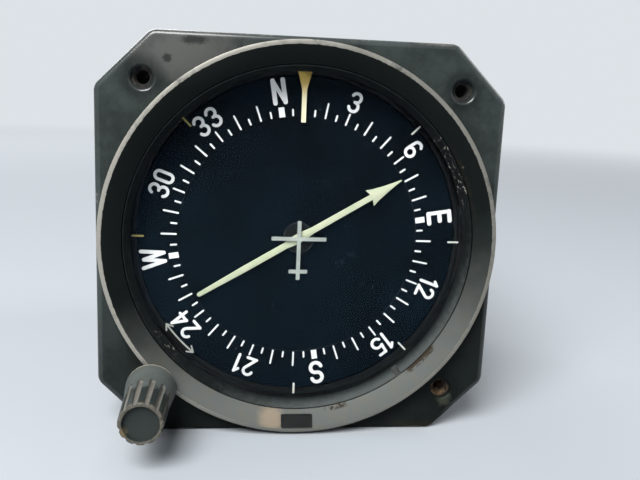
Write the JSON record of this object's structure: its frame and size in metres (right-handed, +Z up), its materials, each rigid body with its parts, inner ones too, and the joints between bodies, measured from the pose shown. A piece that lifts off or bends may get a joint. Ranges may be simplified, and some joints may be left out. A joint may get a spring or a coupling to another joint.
{
  "type": "automatic direction finder indicator",
  "caption": "Square panel-mounted direction finder indicator with a round glazed dial, a compass card turned by a fluted knob, a bearing pointer, a closed case and a rear connector.",
  "frame": {"origin": "middle of the bounding box's underside: on the surface that the flange stands on, under the middle of the length from the knob's front to the connector's back", "axes": "+Z up, the dial faces -Y, +X to the reader's right"},
  "size_m": [0.081, 0.1182, 0.081],
  "materials": {
    "bezel_paint": "matt dark greenish grey crackle paint, worn to bare metal on the ring's rim",
    "window_glass": "clear, lightly scratched",
    "gasket_rubber": "matt",
    "black_metal": "matt black",
    "card_black": "dead matt black with white print",
    "pointer_cream": "aged luminous cream paint",
    "brass": "machined",
    "steel": "machined",
    "aluminium": "machined",
    "case_paint": "satin black paint on sheet aluminium",
    "knob_plastic": "dark grey, brownish where the edges are worn",
    "lamp_glass": "clear",
    "copper": "enamelled winding",
    "board_green": "green solder mask",
    "insulator_black": "moulded",
    "connector_plating": "yellowish plated steel",
    "cable_grey": "sleeved wires"
  },
  "bodies": {
    "instrument": {"bezel": "bezel_paint", "window_glass": "window_glass", "window_gasket": "gasket_rubber", "window_retaining_ring": "black_metal", "lamp_ring": "black_metal", "dial_lamp_left": "lamp_glass", "dial_lamp_right": "lamp_glass", "mounting_insert_top_left": "brass", "mounting_insert_top_right": "brass", "mounting_insert_bottom_right": "brass", "knob_bush": "brass", "front_plate": "aluminium", "gear_plate": "aluminium", "card_bearing_front": "steel", "card_bearing_rear": "steel", "idler_stud": "steel", "plate_spacer_top_left": "aluminium", "plate_spacer_top_right": "aluminium", "plate_spacer_bottom_left": "aluminium", "plate_spacer_bottom_right": "aluminium", "frame_post_top_left": "aluminium", "frame_post_top_right": "aluminium", "frame_post_bottom_left": "aluminium", "frame_post_bottom_right": "aluminium", "synchro_housing": "aluminium", "synchro_stator": "copper", "synchro_end_cap": "aluminium", "synchro_bearing_front": "steel", "synchro_bearing_rear": "steel", "synchro_clamp_ring": "aluminium", "clamp_screw_1": "steel", "clamp_screw_2": "steel", "clamp_screw_3": "steel", "case_sleeve": "case_paint", "rear_cover": "case_paint", "rear_cover_screw_top_left": "steel", "rear_cover_screw_top_right": "steel", "rear_cover_screw_bottom_left": "steel", "rear_cover_screw_bottom_right": "steel", "connector_shell": "connector_plating", "connector_insulator": "insulator_black", "connector_jackpost_left": "connector_plating", "connector_jackpost_right": "connector_plating", "circuit_board": "board_green", "wiring_harness": "cable_grey"},
    "card": {"compass_card": "card_black", "card_hub": "aluminium", "card_gear": "brass"},
    "pointer": {"bearing_pointer": "pointer_cream", "pointer_shaft": "steel", "synchro_rotor": "copper"},
    "knob": {"card_set_knob": "knob_plastic", "knob_shaft": "steel", "knob_pinion": "brass", "knob_set_screw": "steel"},
    "idler": {"idler_gear": "brass"}
  },
  "joints": [
    {"name": "card_spin", "type": "hinge", "parent": "instrument", "child": "card", "pos_m": [0, -0.03285, 0.0405], "axis": [0, -1, 0], "continuous": true},
    {"name": "idler_spin", "type": "hinge", "parent": "instrument", "child": "idler", "pos_m": [-0.02102, -0.03285, 0.01526], "axis": [0, -1, 0], "continuous": true},
    {"name": "knob_turn", "type": "hinge", "parent": "instrument", "child": "knob", "pos_m": [-0.0294, -0.03285, 0.0108], "axis": [0, -1, 0], "continuous": true},
    {"name": "pointer_spin", "type": "hinge", "parent": "instrument", "child": "pointer", "pos_m": [0, -0.03285, 0.0405], "axis": [0, -1, 0], "continuous": true}
  ],
  "couplings": [
    {"joint": "idler_spin", "follows": "card_spin", "ratio": -4},
    {"joint": "knob_turn", "follows": "card_spin", "ratio": 9}
  ]
}
